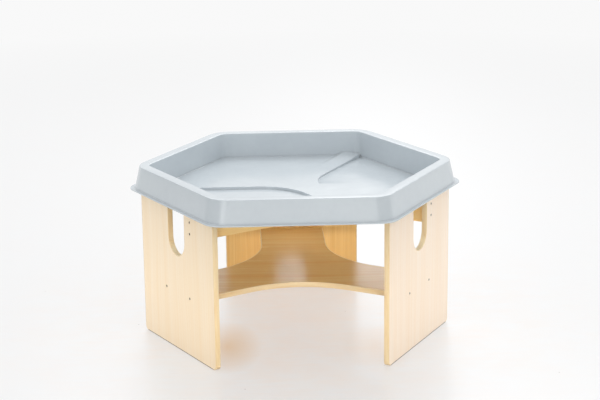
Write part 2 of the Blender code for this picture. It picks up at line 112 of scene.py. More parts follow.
# Relief in the tray's floor
POOL_OFFSET = 0.0125
POOL_DEPTH = 0.0080
POOL_STEP_RUN = 0.0026
POOL_BEND_RADIUS = 0.155
RIGHT_DROP = 0.0023
RAMP_OFFSET = 0.0105
RAMP_STEP_RUN = 0.0016
RAMP_WIDTH = 0.068
RAMP_SOFT_RUN = 0.022
RAMP_HEIGHT = 0.0093
RAMP_LEAN = 0.5
RAMP_LEAN_RUN = 0.034
RAMP_START = 0.190
RAMP_BEND_START = 0.160
RAMP_BEND_RADIUS = 0.154
RAMP_BEND_TURN = 30
RAMP_BEND_END_SHARE = 0.5
RAMP_TAIL = 0.028
TROUGH_DEPTH = 0.0024
TROUGH_RUN = 0.020
FADE_RUN = 0.120
RELIEF_BLEND = 0.022

# The tray's underside goes no lower than the solid's, which clears the rails
SOLID_POOL_DEPTH = 0.0055
UNDERSIDE_LOW = -SOLID_POOL_DEPTH - SHEET
NO_LIMIT = -1.0

# Fineness of curves
ARRIS_STEPS = 4
CURVE_STEPS = 40
SCREW_SIDES = 32
ROUND_STEPS = 7
CORNER_STEPS = 20
SIDE_STEPS = 14
RAMP_BEND_STEPS = 24
POOL_BEND_STEPS = 56

# Fineness of the tray's floor: spacings along creased lines and in between, and distances that are kept clear
LINE_SPACING = 0.005
FINE_SPACING = 0.003
GRID = 0.0075
STATION_SPACING = 0.0003
ROW_CLEARANCE = 0.001
POOL_ROW_CLEARANCE = 0.02
GRID_CLEARANCE = 0.003
BORDER_CLEARANCE = 0.0008
MERGE_DISTANCE = 1e-6

# Worked out from the sizes above
PANEL_INNER = PANEL_REACH - BOARD
PANEL_HALF = PANEL_REACH * TAN30 - PANEL_INSET
PANEL_TOP = RIM_TOP - SHEET - GAP
SLOT_CENTRE = SLOT_BOTTOM + SLOT_WIDTH / 2
FLOOR_LEVEL = RIM_TOP - TRAY_DEPTH
FLANGE_LOW = RIM_TOP - SKIRT_HEIGHT
RIM_OUT = PANEL_REACH + RIM_CLEARANCE + SHEET
RIM_IN = RIM_OUT - RIM_WIDTH
SKIRT = RIM_OUT + SKIRT_DRAFT
FLANGE = SKIRT + FLANGE_WIDTH
BASIN = RIM_IN - BASIN_DRAFT
FLOOR_REACH = BASIN - (FLOOR_FILLET + SHEET)
FLOOR_CORNER_RADIUS = BASIN_CORNER_RADIUS - SHEET


# Plane geometry

def direction(degrees):
    angle = math.radians(degrees)
    return Vector((math.cos(angle), math.sin(angle)))


def clockwise(vector):
    return Vector((vector.y, -vector.x))


def arc(centre, radius, start, end, steps):
    """Points on an arc in a plane, from one angle to another."""
    turn = (end - start) / steps
    return [Vector(centre) + radius * direction(start + turn * i) for i in range(steps + 1)]


def spread(low, high, step):
    """Even values from low to high, about a step apart."""
    count = max(1, round((high - low) / step))
    return [low + (high - low) * i / count for i in range(count + 1)]


def clamped(value):
    return min(max(value, 0.0), 1.0)


def eased(value):
    """0 below 0, 1 above 1, and a soft S between them."""
    value = clamped(value)
    return value * value * (3 - 2 * value)


# Meshes

def closed_mesh(name, points, faces, smooth_angle):
    """A closed mesh that faces outwards, smooth apart from edges that are sharper than the angle."""
    mesh = bpy.data.meshes.new(name)
    mesh.from_pydata([tuple(p) for p in points], [], faces)
    solid = bmesh.new()
    solid.from_mesh(mesh)
    bmesh.ops.recalc_face_normals(solid, faces=solid.faces)
    if solid.calc_volume(signed=True) < 0:
        bmesh.ops.reverse_faces(solid, faces=solid.faces)
    solid.to_mesh(mesh)
    solid.free()
    mesh.shade_smooth()
    mesh.set_sharp_from_angle(angle=math.radians(smooth_angle))
    return mesh


def tube_faces(rings, size):
    """Faces of a closed tube: its two ends, and its sides from ring to ring."""
    last = (rings - 1) * size
    faces = [list(range(size)), list(range(last, last + size))]
    for ring in range(rings - 1):
        for i in range(size):
            a = ring * size + i
            b = ring * size + (i + 1) % size
            faces.append([a, b, b + size, a + size])
    return faces


def add_piece(name, mesh, material, body, replaces, turn=0.0, location=(0, 0, 0)):
    """Show a mesh in place of a CAD node, turned about the table's middle."""
    piece = bpy.data.objects.new(name, mesh)
    piece.matrix_world = Matrix.Rotation(math.radians(turn), 4, "Z") @ Matrix.Translation(location)
    scene.collection.objects.link(piece)
    mesh.materials.append(material)
    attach(piece, body)
    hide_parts(replaces)


# Node graphs

def srgb(*levels):
    """A colour from 0-255 display levels."""
    linear = [(v / 255 / 12.92) if v <= 10 else ((v / 255 + 0.055) / 1.055) ** 2.4 for v in levels]
    return (*linear, 1.0)


WHITE = (1.0, 1.0, 1.0, 1.0)

# The stretch of values in which most of a noise pattern lies
NOISE_RANGE = (0.3, 0.7)


def add_node(tree, kind, inputs=None, **settings):
    """Add a node. An input is a value, or another node's output to link."""
    made = tree.nodes.new(kind)
    for key, value in settings.items():
        setattr(made, key, value)
    for key, value in (inputs or {}).items():
        if isinstance(value, bpy.types.NodeSocket):
            tree.links.new(value, made.inputs[key])
        else:
            made.inputs[key].default_value = value
    return made


def maths(tree, operation, a, b=0.0):
    return add_node(tree, "ShaderNodeMath", {0: a, 1: b}, operation=operation).outputs[0]


def times(tree, a, b):
    return maths(tree, "MULTIPLY", a, b)


def plus(tree, a, b):
    return maths(tree, "ADD", a, b)


def swing(tree, value, amount):
    """A pattern between 0 and 1 as a swing about zero."""
    return times(tree, maths(tree, "SUBTRACT", value, 0.5), amount)


def remap(tree, value, low, high, to_low=0.0, to_high=1.0):
    inputs = {0: value, 1: low, 2: high, 3: to_low, 4: to_high}
    return add_node(tree, "ShaderNodeMapRange", inputs).outputs[0]


def mixed_value(tree, factor, a, b):
    return add_node(tree, "ShaderNodeMix", {0: factor, 2: a, 3: b}, data_type="FLOAT").outputs[0]


def mixed_colour(tree, factor, a, b):
    return add_node(tree, "ShaderNodeMix", {0: factor, 6: a, 7: b}, data_type="RGBA").outputs[2]


def mixed_shader(tree, factor, a, b):
    return add_node(tree, "ShaderNodeMixShader", {0: factor, 1: a, 2: b}).outputs[0]


def moved(tree, vector, offset):
    return add_node(tree, "ShaderNodeVectorMath", {0: vector, 1: offset}).outputs[0]


def scaled(tree, vector, amount):
    return add_node(tree, "ShaderNodeVectorMath", {0: vector, "Scale": amount}, operation="SCALE").outputs[0]


def length(tree, vector):
    return add_node(tree, "ShaderNodeVectorMath", {0: vector}, operation="LENGTH").outputs["Value"]


def axes(tree, vector):
    """A vector's parts along X, Y and Z."""
    return add_node(tree, "ShaderNodeSeparateXYZ", {0: vector}).outputs


def stretched(tree, vector, scale, turn=0.0):
    inputs = {"Vector": vector, "Scale": scale, "Rotation": (0, 0, math.radians(turn))}
    return add_node(tree, "ShaderNodeMapping", inputs).outputs[0]


def noise(tree, vector, scale, detail=2.0, roughness=0.5):
    inputs = {"Vector": vector, "Scale": scale, "Detail": detail, "Roughness": roughness}
    return add_node(tree, "ShaderNodeTexNoise", inputs).outputs[0]


def streaks(tree, vector, scales, detail=2.0, roughness=0.5):
    """Noise with its own scale along each axis."""
    return noise(tree, stretched(tree, vector, scales), 1.0, detail, roughness)


def cells(tree, vector, scale):
    """A cell pattern's distance from the nearest cell's middle, and a value of that cell's own."""
    made = add_node(tree, "ShaderNodeTexVoronoi", {"Vector": vector, "Scale": scale}).outputs
    own = add_node(tree, "ShaderNodeSeparateColor", {0: made["Color"]}).outputs[0]
    return made["Distance"], own


def bumped(tree, height, strength, distance, normal=None):
    inputs = {"Strength": strength, "Distance": distance, "Height": height}
    if normal is not None:
        inputs["Normal"] = normal
    return add_node(tree, "ShaderNodeBump", inputs).outputs[0]


def surface_normal(tree):
    return tree.nodes.new("ShaderNodeTexCoord").outputs["Normal"]


def new_material(name, **shader_values):
    """A material with its tree, its shader and the object's own coordinates."""
    material = bpy.data.materials.new(name)
    material.use_nodes = True
    tree = material.node_tree
    shader = tree.nodes["Principled BSDF"]
    for socket, value in shader_values.items():
        shader.inputs[socket.replace("_", " ")].default_value = value
    place = tree.nodes.new("ShaderNodeTexCoord").outputs["Object"]
    return material, tree, shader, place


def finish_material(tree, shader, colour, roughness, normal):
    tree.links.new(colour, shader.inputs["Base Color"])
    tree.links.new(roughness, shader.inputs["Roughness"])
    tree.links.new(normal, shader.inputs["Normal"])


# Faced boards: a printed beech pattern. The grain's coordinates are (across, through the board, along).

# Each pattern's scales on those axes, its detail and its roughness
DRIFT = ((6, 4, 0.9), 2.0, 0.5)
BANDS = ((34, 12, 0.7), 2.0, 0.55)
LINES = ((150, 40, 1.6), 3.0, 0.6)
THREADS = ((620, 120, 9), 2.0, 0.6)
FLECKS = ((900, 300, 75), 1.0, 0.5)
DRIFT_SWING = 0.10
BAND_SWING = 1.1
LINE_SWING = 1.3
THREAD_SWING = 0.5
TONE_RANGE = (-0.5, 0.5)
FLECK_RANGE = (0.66, 0.74)
FLECK_STRENGTH = 0.35
FLECK_DARKNESS = 0.72
INNER_FACING = (0.4, 0.6)

CORE_DARK = srgb(150, 112, 72)
CORE_PALE = srgb(214, 180, 132)
CORE_FACING = (0.80, 0.95)
CORE_ROUGHNESS = 0.85
CHIP_SCALE = 520.0

# Painted shadow: the dark line along the panels' foot edges
FOOT_SHADOW_COLOUR = srgb(108, 94, 82)
FOOT_SHADOW_HEIGHT = 0.0016
FOOT_SHADOW_FADE = 0.0006
FOOT_SHADOW_STRENGTH = 0.95

FACE_SPECULAR = 0.45
GLOSS_SPECULAR = 3
FACE_ROUGHNESS = (0.36, 0.46)
THREAD_RELIEF = 0.6
FLECK_RELIEF = -0.5
CHIP_RELIEF = 6.0


def grain_space(tree, place, turn, along):
    """Turn the object's coordinates so that X runs across the grain and Z along it."""
    parts = axes(tree, stretched(tree, place, (1, 1, 1), -turn))
    order = {"Z": (0, 1, 2), "X": (1, 2, 0), "Y": (0, 2, 1)}[along]
    inputs = {i: parts[k] for i, k in enumerate(order)}
    return add_node(tree, "ShaderNodeCombineXYZ", inputs).outputs[0]


def grain_patterns(tree, grain):
    """Growth rings as long wavy bands, with finer lines, threads and short flecks between them."""
    drift = swing(tree, streaks(tree, grain, *DRIFT), DRIFT_SWING)
    warped = moved(tree, grain, add_node(tree, "ShaderNodeCombineXYZ", {0: drift}).outputs[0])
    bands = streaks(tree, warped, *BANDS)
    lines = streaks(tree, warped, *LINES)
    threads = streaks(tree, grain, *THREADS)
    flecks = streaks(tree, grain, *FLECKS)
    return bands, lines, threads, flecks


def faced_board(name, pale, deep, turn=0.0, along="Z", seed=0.0, inner=None, gloss=0.0):
    """A faced board. With inner colours it is a panel: its inner face gets those warmer colours as painted
    shade, and its foot edges a painted shadow line.
    """
    specular = FACE_SPECULAR + GLOSS_SPECULAR * gloss
    material, tree, shader, place = new_material(name, Specular_IOR_Level=specular)
    grain = moved(tree, grain_space(tree, place, turn, along), (seed, seed, seed))
    bands, lines, threads, flecks = grain_patterns(tree, grain)
    mixed = plus(tree, swing(tree, bands, BAND_SWING), swing(tree, lines, LINE_SWING))
    mixed = plus(tree, mixed, swing(tree, threads, THREAD_SWING))
    tone = remap(tree, mixed, *TONE_RANGE)
    colour = mixed_colour(tree, tone, deep, pale)
    facing = axes(tree, grain_space(tree, surface_normal(tree), turn, along))
    # Painted shade: the panel's inner face takes warmer, deeper colours
    if inner:
        inner_pale, inner_deep = inner
        shaded_inner = mixed_colour(tree, tone, inner_deep, inner_pale)
        colour = mixed_colour(tree, remap(tree, facing[1], *INNER_FACING), colour, shaded_inner)
    fleck = times(tree, remap(tree, flecks, *FLECK_RANGE), FLECK_STRENGTH)
    fleck_colour = tuple(FLECK_DARKNESS * c for c in deep[:3]) + (1.0,)
    colour = mixed_colour(tree, fleck, colour, fleck_colour)
    # Painted shadow: a dark line along the panel's foot edges
    if inner:
        height = axes(tree, place)[2]
        foot_shadow = remap(tree, height, FOOT_SHADOW_HEIGHT, FOOT_SHADOW_HEIGHT + FOOT_SHADOW_FADE, FOOT_SHADOW_STRENGTH, 0.0)
        colour = mixed_colour(tree, foot_shadow, colour, FOOT_SHADOW_COLOUR)

    # The cut edges that no strip covers show the chipboard core
    raw = remap(tree, maths(tree, "ABSOLUTE", facing[2]), *CORE_FACING)
    _, chip = cells(tree, place, CHIP_SCALE)
    colour = mixed_colour(tree, raw, colour, mixed_colour(tree, chip, CORE_DARK, CORE_PALE))

    smoothest, roughest = FACE_ROUGHNESS
    sheen = remap(tree, lines, *NOISE_RANGE, smoothest - gloss, roughest - gloss)
    roughness = maths(tree, "MAXIMUM", sheen, times(tree, raw, CORE_ROUGHNESS))
    texture = plus(tree, times(tree, threads, THREAD_RELIEF), times(tree, flecks, FLECK_RELIEF))
    texture = plus(tree, texture, times(tree, times(tree, raw, chip), CHIP_RELIEF))
    normal = bumped(tree, texture, strength=0.35, distance=0.0001)
    finish_material(tree, shader, colour, roughness, normal)
    return material


# Edging: a thin strip whose fine lines run along it, so they are a pattern of depth through the board

# Each pattern's scales along the strip and through the board, and its share
STRIP_LINES = (14, 1100)
STRIP_BANDS = (9, 160)
STRIP_LINE_SHARE = 0.55
STRIP_BAND_SHARE = 0.45
STRIP_TONE_RANGE = (0.34, 0.62)
STRIP_SPECULAR = 0.45
STRIP_ROUGHNESS = (0.32, 0.46)
STRIP_SPECKS = (420.0, 2.0, 0.6)
STRIP_WEAR = (26.0, 4.0, 0.7)
STRIP_WEAR_RANGE = (0.60, 0.75)
STRIP_WEAR_STRENGTH = 0.25
STRIP_WORN = srgb(246, 226, 188)
STRIP_HIGHLIGHT = srgb(255, 240, 204)
STRIP_HIGHLIGHT_FACING = (0.35, 0.8)


def depth_scales(slow, quick, through):
    """Scales of a pattern that changes quickly through the board, along Y or Z, and slowly elsewhere."""
    return (slow, quick, slow) if through == "Y" else (slow, slow, quick)


def strip_material(name, pale, deep, turn=0.0, through="Y"):
    material, tree, shader, place = new_material(name, Specular_IOR_Level=STRIP_SPECULAR)
    own = stretched(tree, place, (1, 1, 1), -turn)
    lines = streaks(tree, own, depth_scales(*STRIP_LINES, through), detail=2.0, roughness=0.6)
    bands = streaks(tree, own, depth_scales(*STRIP_BANDS, through), detail=2.0, roughness=0.5)
    mixed = plus(tree, times(tree, lines, STRIP_LINE_SHARE), times(tree, bands, STRIP_BAND_SHARE))
    colour = mixed_colour(tree, remap(tree, mixed, *STRIP_TONE_RANGE), deep, pale)
    wear = remap(tree, noise(tree, place, *STRIP_WEAR), *STRIP_WEAR_RANGE, 0.0, STRIP_WEAR_STRENGTH)
    colour = mixed_colour(tree, wear, colour, STRIP_WORN)

    # Painted highlight: upward-facing arrises are given a paler colour, where they catch the light
    upward = axes(tree, surface_normal(tree))[2]
    colour = mixed_colour(tree, remap(tree, upward, *STRIP_HIGHLIGHT_FACING), colour, STRIP_HIGHLIGHT)
    roughness = remap(tree, noise(tree, place, *STRIP_SPECKS), *NOISE_RANGE, *STRIP_ROUGHNESS)
    finish_material(tree, shader, colour, roughness, bumped(tree, lines, strength=0.25, distance=0.0001))
    return material


# Dowels: solid wood with fine lines along Z

DOWEL_LINES = ((500, 500, 60), 3.0, 0.6)
DOWEL_ROUGHNESS = (0.5, 0.7)


def plain_wood(name, pale, deep):
    material, tree, shader, place = new_material(name)
    lines = streaks(tree, place, *DOWEL_LINES)
    colour = mixed_colour(tree, remap(tree, lines, *NOISE_RANGE), deep, pale)
    roughness = remap(tree, lines, *NOISE_RANGE, *DOWEL_ROUGHNESS)
    finish_material(tree, shader, colour, roughness, bumped(tree, lines, strength=0.4, distance=0.0001))
    return material


# Screws: blackened steel, stained and finely brushed

STEEL_METALLIC = 0.85
STEEL_DARK = srgb(62, 58, 56)
STEEL_PALE = srgb(104, 98, 94)
STEEL_STAIN = (900.0, 3.0, 0.6)
STEEL_STAIN_RANGE = (0.35, 0.65)
STEEL_BRUSHING = ((4000, 4000, 500), 2.0, 0.5)
STEEL_ROUGHNESS = (0.28, 0.5)


def dark_steel(name):
    material, tree, shader, place = new_material(name, Metallic=STEEL_METALLIC)
    stain = noise(tree, place, *STEEL_STAIN)
    brushed = streaks(tree, place, *STEEL_BRUSHING)
    colour = mixed_colour(tree, remap(tree, stain, *STEEL_STAIN_RANGE), STEEL_DARK, STEEL_PALE)
    roughness = remap(tree, stain, *NOISE_RANGE, *STEEL_ROUGHNESS)
    finish_material(tree, shader, colour, roughness, bumped(tree, brushed, strength=0.2, distance=0.00005))
    return material


# Tray: satin moulded plastic, a fine skin texture over the slight unevenness of a formed sheet

PLASTIC_DEEP = srgb(193, 201, 207)
PLASTIC_PALE = srgb(199, 207, 212)
PLASTIC_SPECULAR = 0.85
PLASTIC_ROUGHNESS = (0.14, 0.17)
SKIN_ROUGHNESS = 0.02
PLASTIC_TONE_RANGE = (0.35, 0.65)
CLOUD_SHARE = 0.7
MOTTLE_SHARE = 0.3

# Each pattern's scale, detail and roughness
CLOUD = (7.0, 3.0, 0.5)
MOTTLE = (60.0, 3.0, 0.6)
SKIN = (1300.0, 2.0, 0.5)
SAG = (16.0, 2.0, 0.45)

# Painted shade: creases are darkened in colour, by how little stands open round them
CREASE_WIDTH = 0.008
CREASE_OPENNESS = (0.35, 0.9)
CREASE_PAINTED_SHADE = 0.62
CREASE_SAMPLES = 8


def openness(tree):
    """How much stands open round a point of the tray: less in a crease."""
    inputs = {"Distance": CREASE_WIDTH}
    settings = {"samples": CREASE_SAMPLES, "only_local": True}
    return add_node(tree, "ShaderNodeAmbientOcclusion", inputs, **settings).outputs["AO"]


def grey_plastic(name):
    material, tree, shader, place = new_material(name, Specular_IOR_Level=PLASTIC_SPECULAR)
    cloud = noise(tree, place, *CLOUD)
    mottle = noise(tree, place, *MOTTLE)
    skin = noise(tree, place, *SKIN)
    tone = plus(tree, times(tree, cloud, CLOUD_SHARE), times(tree, mottle, MOTTLE_SHARE))
    even = mixed_colour(tree, remap(tree, tone, *PLASTIC_TONE_RANGE), PLASTIC_DEEP, PLASTIC_PALE)
    # Painted shade: the colour is darkened in creases
    colour = scaled(tree, even, remap(tree, openness(tree), *CREASE_OPENNESS, CREASE_PAINTED_SHADE, 1.0))
    roughness = remap(tree, cloud, *NOISE_RANGE, *PLASTIC_ROUGHNESS)
    roughness = plus(tree, roughness, times(tree, skin, SKIN_ROUGHNESS))
    wave = bumped(tree, noise(tree, place, *SAG), strength=0.04, distance=0.01)
    normal = bumped(tree, skin, strength=0.05, distance=0.0001, normal=wave)
    finish_material(tree, shader, colour, roughness, normal)
    return material


# Edging strips

def upright(u, v, depth):
    """A strip drawn in the panel's own plane, thick along Y."""
    return (u, depth, v)


def flat(u, v, height):
    """A strip drawn flat, thick along Z."""
    return (u, v, height)


def strip_mesh(name, path, inward, low, high, place):
    """An edging strip along the path, with rounded outer arrises."""
    quarter = [math.radians(90 * i / ARRIS_STEPS) for i in range(ARRIS_STEPS + 1)]
    arris = EDGING_ROUND
    section = [(EDGING, low)]
    section += [(arris - arris * math.sin(a), low + arris - arris * math.cos(a)) for a in quarter]
    section += [(arris - arris * math.cos(a), high - arris + arris * math.sin(a)) for a in quarter]
    section.append((EDGING, high))
    points = []
    for on_path, normal in zip(path, inward):
        for depth, height in section:
            spot = on_path + normal * depth
            points.append(place(spot.x, spot.y, height))
    return closed_mesh(name, points, tube_faces(len(path), len(section)), smooth_angle=50)


def side_strip(sign):
    """The strip down one side of a panel and round its foot."""
    foot = PANEL_HALF - FOOT_ROUND
    corner = Vector((foot, FOOT_ROUND))
    curve = arc(corner, FOOT_ROUND, 0, -90, CURVE_STEPS // 2)
    path = [Vector((PANEL_HALF, PANEL_TOP - PANEL_TOP_ROUND))] + curve
    inward = [Vector((-1.0, 0.0))] + [(corner - p).normalized() for p in curve]
    path = [Vector((sign * p.x, p.y)) for p in path]
    inward = [Vector((sign * n.x, n.y)) for n in inward]
    return strip_mesh("side_strip", path, inward, -PANEL_REACH, -PANEL_INNER, upright)


def slot_strip():
    """The strip that lines a hand slot."""
    radius = SLOT_WIDTH / 2
    centre = Vector((0.0, SLOT_CENTRE))
    curve = arc(centre, radius, 0, -180, CURVE_STEPS)
    path = [Vector((radius, PANEL_TOP))] + curve + [Vector((-radius, PANEL_TOP))]
    outward = [Vector((1.0, 0.0))] + [(p - centre).normalized() for p in curve] + [Vector((-1.0, 0.0))]
    return strip_mesh("slot_strip", path, outward, -PANEL_REACH, -PANEL_INNER, upright)


def shelf_strip(bay):
    """The strip round one of the shelf's bays."""
    half = SHELF_ARM_WIDTH / 2
    centre = direction(bay) * (half / math.sin(math.radians(60)) + SHELF_BAY_RADIUS / COS30)
    before = direction(bay - 60)
    after = direction(bay + 60)
    reach = PANEL_INNER - GAP
    first = before * reach - clockwise(before) * half
    last = after * reach + clockwise(after) * half
    curve = arc(centre, SHELF_BAY_RADIUS, bay + 180 + 30, bay + 180 - 30, CURVE_STEPS)
    path = [first] + curve + [last]
    inward = [clockwise(before)] + [(p - centre).normalized() for p in curve] + [-clockwise(after)]
    return strip_mesh("shelf_strip", path, inward, SHELF_TOP - BOARD, SHELF_TOP, flat)


# Screws

def turned_mesh(name, profile, sides):
    """A solid turned about its Y axis from (radius, y) pairs, with flat ends."""
    points = []
    for radius, y in profile:
        for i in range(sides):
            around = direction(360 * i / sides)
            points.append((radius * around.x, y, radius * around.y))
    return closed_mesh(name, points, tube_faces(len(profile), sides), smooth_angle=40)


def screw_mesh():
    """A countersunk screw with a softened head and a hexagonal recess."""
    profile = [
        (SCREW_HEAD_RADIUS - SCREW_ARRIS, SCREW_SINK),
        (SCREW_HEAD_RADIUS, SCREW_SINK + SCREW_ARRIS),
        (SCREW_HEAD_RADIUS, SCREW_SINK + SCREW_HEAD_RIM),
        (SCREW_RADIUS, SCREW_SINK + SCREW_HEAD_DEPTH),
        (SCREW_RADIUS, SCREW_LENGTH - SCREW_POINT),
        (SCREW_POINT_RADIUS, SCREW_LENGTH),
    ]
    recess = [(DRIVE_RADIUS, -DRIVE_OVERRUN), (DRIVE_RADIUS, SCREW_SINK + DRIVE_DEPTH)]
    blank = bpy.data.objects.new("blank", turned_mesh("dark_screw", profile, SCREW_SIDES))
    drill = bpy.data.objects.new("drill", turned_mesh("drive", recess, DRIVE_SIDES))
    cut = blank.modifiers.new("cut", "BOOLEAN")
    cut.operation = "DIFFERENCE"
    cut.object = drill
    for thing in (blank, drill):
        scene.collection.objects.link(thing)
    result = bpy.data.meshes.new_from_object(blank.evaluated_get(bpy.context.evaluated_depsgraph_get()))
    result.name = "dark_screw"
    for thing in (blank, drill):
        bpy.data.objects.remove(thing)
    result.shade_smooth()
    result.set_sharp_from_angle(angle=math.radians(35))
    return result


# Tray. A station is a normal's angle and, on a straight side, a share of the side's straight half.

def straight_half(apothem, radius):
    return (apothem - radius) * TAN30


def corner_centre(vertex, apothem, radius):
    return direction(vertex) * ((apothem - radius) / COS30)


def ring_point(apothem, radius, normal, share):
    outward = direction(normal)
    if normal % 60 == 30:
        return outward * apothem - clockwise(outward) * (share * straight_half(apothem, radius))
    return corner_centre(60 * round(normal / 60), apothem, radius) + outward * radius


def meeting(vertex, offset, apothem, radius):
    """The station where a line beside a corner's radial, offset clockwise, meets a ring."""
    if abs(offset) < radius / 2:
        return vertex - math.degrees(math.asin(offset / radius)), 0.0
    place = apothem * TAN30 - abs(offset) / COS30
    side = math.copysign(1, offset)
    return vertex - 30 * side, side * place / straight_half(apothem, radius)


def beside(vertex, along, offset):
    """A point along a corner's radial, moved to its clockwise side."""
    spoke = direction(vertex)
    return spoke * along + clockwise(spoke) * offset


def rounded(corners):
    """Round a profile's corners. Each is (apothem, height, corner radius, rounding, relief share)."""
    points = []
    for i, (apothem, height, radius, rounding, share) in enumerate(corners):
        here = Vector((apothem, height))
        if rounding == 0:
            points.append((apothem, height, radius, share))
            continue
        back = (Vector(corners[i - 1][:2]) - here).normalized()
        onward = (Vector(corners[i + 1][:2]) - here).normalized()
        half_angle = back.angle(onward) / 2
        setback = rounding / math.tan(half_angle)
        centre = here + (back + onward).normalized() * rounding / math.sin(half_angle)
        start = here + back * setback - centre
        end = here + onward * setback - centre
        for step in range(ROUND_STEPS + 1):
            spot = centre + start.lerp(end, step / ROUND_STEPS).normalized() * rounding
            points.append((spot.x, spot.y, radius, share))
    return points


def tray_profile():
    """The tray's section as rings: the upper skin from the flange to the floor, and the lower skin back."""
    flange_top = FLANGE_LOW + SHEET
    low = FLOOR_LEVEL - SHEET
    blend_height = FLOOR_LEVEL + RELIEF_BLEND
    blend_at = BASIN + BASIN_DRAFT * RELIEF_BLEND / (RIM_TOP - FLOOR_LEVEL)
    outer = SKIRT_CORNER_RADIUS
    inner = BASIN_CORNER_RADIUS
    upper = rounded([
        (FLANGE - SHEET, FLANGE_LOW, FLANGE_CORNER_RADIUS - SHEET, 0, 0),
        (FLANGE, FLANGE_LOW, FLANGE_CORNER_RADIUS, FLANGE_EDGE_ROUND, 0),
        (FLANGE, flange_top, FLANGE_CORNER_RADIUS, FLANGE_EDGE_ROUND, 0),
        (SKIRT, flange_top, outer, FLANGE_FILLET, 0),
        (RIM_OUT, RIM_TOP, outer, RIM_OUTER_ROUND, 0),
        (RIM_IN, RIM_TOP, inner, RIM_INNER_ROUND, 0),
        (blend_at, blend_height, inner, 0, 0),
        (BASIN, FLOOR_LEVEL, inner, FLOOR_FILLET, 1),
        (FLOOR_REACH, FLOOR_LEVEL, FLOOR_CORNER_RADIUS, 0, 1),
    ])
    lower = rounded([
        (FLOOR_REACH, low, FLOOR_CORNER_RADIUS, 0, 1),
        (BASIN + SHEET, low, inner + SHEET, FLOOR_FILLET + SHEET, 1),
        (blend_at + SHEET, blend_height, inner + SHEET, 0, 0),
        (RIM_IN + SHEET, RIM_TOP - SHEET, inner + SHEET, RIM_INSIDE_ROUND, 0),
        (RIM_OUT - SHEET, RIM_TOP - SHEET, outer - SHEET, RIM_INSIDE_ROUND, 0),
        (SKIRT - SHEET, FLANGE_LOW, outer - SHEET, 0, 0),
    ])
    return upper, lower


# The floor's relief. Two creased lines part it: the pool's edge and the foot of the ramp's steep side.

RAMP_VERTEX = 60
RAMP_ALONG = direction(RAMP_VERTEX)
RAMP_ACROSS = clockwise(RAMP_ALONG)
BEND_CENTRE = beside(RAMP_VERTEX, RAMP_BEND_START, RAMP_OFFSET + RAMP_BEND_RADIUS)
BEND_END = BEND_CENTRE - Vector((RAMP_BEND_RADIUS, 0.0))
POOL_LEFT_VERTEX = 180
POOL_RIGHT_VERTEX = 300
POOL_FACING = direction(30)
POOL_SETBACK = POOL_BEND_RADIUS * TAN30
POOL_MEETING = Vector((-POOL_OFFSET * math.tan(math.radians(60)), POOL_OFFSET))
POOL_CENTRE = POOL_MEETING - Vector((POOL_SETBACK, POOL_BEND_RADIUS))


def beyond_ramp_edge(point):
    """How far a point is to the right of the ramp's edge line, and the share of the step left there."""
    if point.dot(RAMP_ALONG) >= RAMP_BEND_START:
        return point.dot(RAMP_ACROSS) - RAMP_OFFSET, 1.0
    if point.y >= BEND_END.y:
        spoke = point - BEND_CENTRE
        to_turn = math.degrees(math.atan2(spoke.y, -spoke.x))
        bent = 1 - clamped(to_turn / RAMP_BEND_TURN)
        return RAMP_BEND_RADIUS - spoke.length, 1 - (1 - RAMP_BEND_END_SHARE) * bent
    gone = min((BEND_END.y - point.y) / RAMP_TAIL, 1.0)
    return point.x - BEND_END.x, RAMP_BEND_END_SHARE * (1 - gone)


def into_pool(point):
    """How far a point is inside the pool's edge."""
    spoke = point - POOL_CENTRE
    heading = math.degrees(math.atan2(spoke.y, spoke.x))
    if 30 <= heading <= 90:
        return POOL_BEND_RADIUS - spoke.length
    return min(POOL_OFFSET - point.y, -POOL_OFFSET - point.dot(POOL_FACING))


def ramp_reach(across):
    """How far up the corner's radial the floor goes, at a distance beside it."""
    if abs(across) >= FLOOR_CORNER_RADIUS / 2:
        return (FLOOR_REACH - abs(across) / 2) / COS30
    middle = (FLOOR_REACH - FLOOR_CORNER_RADIUS) / COS30
    return middle + math.sqrt(FLOOR_CORNER_RADIUS ** 2 - across ** 2)


def relief(point):
    """The floor's height above its level at a point."""
    beyond, share = beyond_ramp_edge(point)
    sharp = eased(beyond / RAMP_STEP_RUN)
    soft = eased(beyond / FADE_RUN)
    height = -RIGHT_DROP * (share * sharp + (1 - share) * soft)
    height -= TROUGH_DEPTH * share * sharp * (1 - eased((beyond - RAMP_STEP_RUN) / TROUGH_RUN))
    along = point.dot(RAMP_ALONG)
    if along > RAMP_START:
        across = point.dot(RAMP_ACROSS)
        climb = min((along - RAMP_START) / (ramp_reach(across) - RAMP_START), 1.0) ** 2
        side = eased((across - RAMP_OFFSET + RAMP_WIDTH) / RAMP_SOFT_RUN)
        side *= 1 - RAMP_LEAN * eased((across - RAMP_OFFSET) / RAMP_LEAN_RUN + 1)
        height += RAMP_HEIGHT * climb * side * (1 - sharp)
    depth = eased(into_pool(point) / POOL_STEP_RUN)
    return height + (-POOL_DEPTH - height) * depth


def lines_over(start, end, margin, spacing):
    """Offsets of lines that cover a slope and a little on either side of it."""
    return spread(start - margin, end + margin, spacing)


RAMP_LINES = lines_over(0, RAMP_STEP_RUN, margin=0.0006, spacing=0.0004)
SOFT_LINES = lines_over(-RAMP_WIDTH, -RAMP_WIDTH + RAMP_SOFT_RUN, margin=0.001, spacing=0.003)
POOL_LINES = lines_over(0, POOL_STEP_RUN, margin=0.0008, spacing=0.00055)


